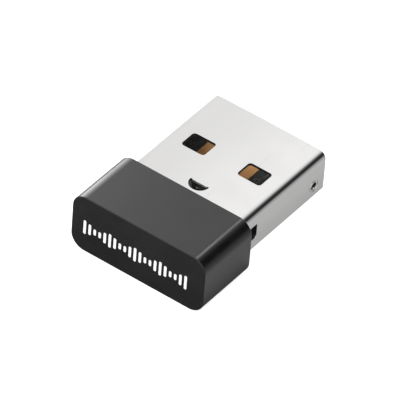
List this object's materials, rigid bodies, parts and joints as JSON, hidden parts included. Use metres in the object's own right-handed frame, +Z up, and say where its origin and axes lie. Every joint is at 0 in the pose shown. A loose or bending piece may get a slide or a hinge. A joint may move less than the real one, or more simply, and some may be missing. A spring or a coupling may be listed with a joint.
{
  "type": "usb wireless adapter",
  "caption": "Nano USB wireless adapter: steel USB-A plug with gold contacts, a black tongue and board, closed by a small black moulded cap.",
  "frame": {"origin": "under the middle of the object's box, on the surface that the cap rests on", "axes": "+Y the way the plug goes into its port, along the longest side; +Z up, out of the plug's contact side, across the thinnest side; +X across the width"},
  "size_m": [0.0142, 0.0186, 0.006],
  "materials": {
    "black_abs": "satin",
    "nickel_steel": "satin",
    "black_lcp": "matte",
    "solder_mask": "satin",
    "gold_plate": "polished",
    "mould_compound": "matte",
    "can_steel": "satin",
    "ceramic": "satin",
    "resistor_glaze": "satin",
    "ferrite": "satin",
    "solder": "satin"
  },
  "bodies": {
    "root": {"outer_cap": "black_abs", "plug_shell": "nickel_steel", "tongue_carrier": "black_lcp", "circuit_board": "solder_mask", "printed_antenna": "gold_plate", "shell_solder_left": "solder", "shell_solder_right": "solder", "contact_vbus": "gold_plate", "contact_data_minus": "gold_plate", "contact_data_plus": "gold_plate", "contact_ground": "gold_plate", "ferrite_bead": "ferrite", "input_capacitor": "ceramic", "voltage_regulator": "mould_compound", "output_capacitor": "ceramic", "usb_resistor_minus": "resistor_glaze", "usb_resistor_plus": "resistor_glaze", "esd_suppressor": "mould_compound", "crystal": "can_steel", "crystal_capacitor_1": "ceramic", "crystal_capacitor_2": "ceramic", "matching_inductor": "ferrite", "matching_capacitor": "ceramic", "radio_chip": "mould_compound", "decoupling_capacitor_1": "ceramic", "decoupling_capacitor_2": "ceramic", "decoupling_capacitor_3": "ceramic"}
  },
  "joints": []
}
